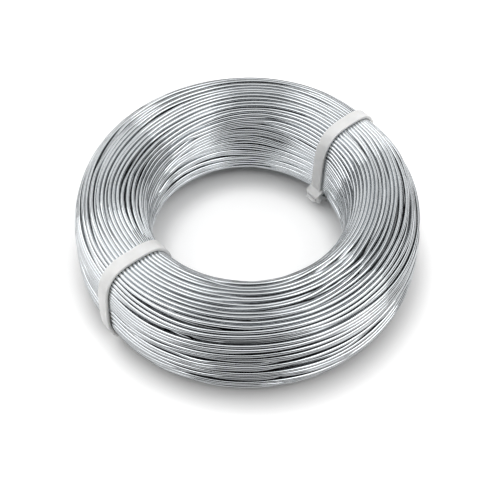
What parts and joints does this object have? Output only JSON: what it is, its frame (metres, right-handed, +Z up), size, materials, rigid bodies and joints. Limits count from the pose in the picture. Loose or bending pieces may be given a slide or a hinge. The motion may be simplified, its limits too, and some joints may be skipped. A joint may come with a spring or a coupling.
{
  "type": "coil of aluminium craft wire",
  "caption": "Flat-lying round coil of bare aluminium wire, wound into a thick ring with an open bore and strapped on opposite sides by two white nylon cable ties",
  "frame": {"origin": "on the floor under the centre of the coil, at the bottom centre of the bounding box", "axes": "+Z is up and is the axis that the turns run round; the cable ties lie at 39.5 and 219.5 degrees from +X towards +Y"},
  "size_m": [0.1412, 0.1412, 0.0447],
  "materials": {
    "bare_aluminium": "bright drawn wire, lightly streaked along its length",
    "natural_nylon": "natural white moulded nylon, slightly translucent, satin"
  },
  "bodies": {
    "root": {"wire_coil": "bare_aluminium", "cable_tie_back": "natural_nylon", "cable_tie_front": "natural_nylon"}
  },
  "joints": []
}
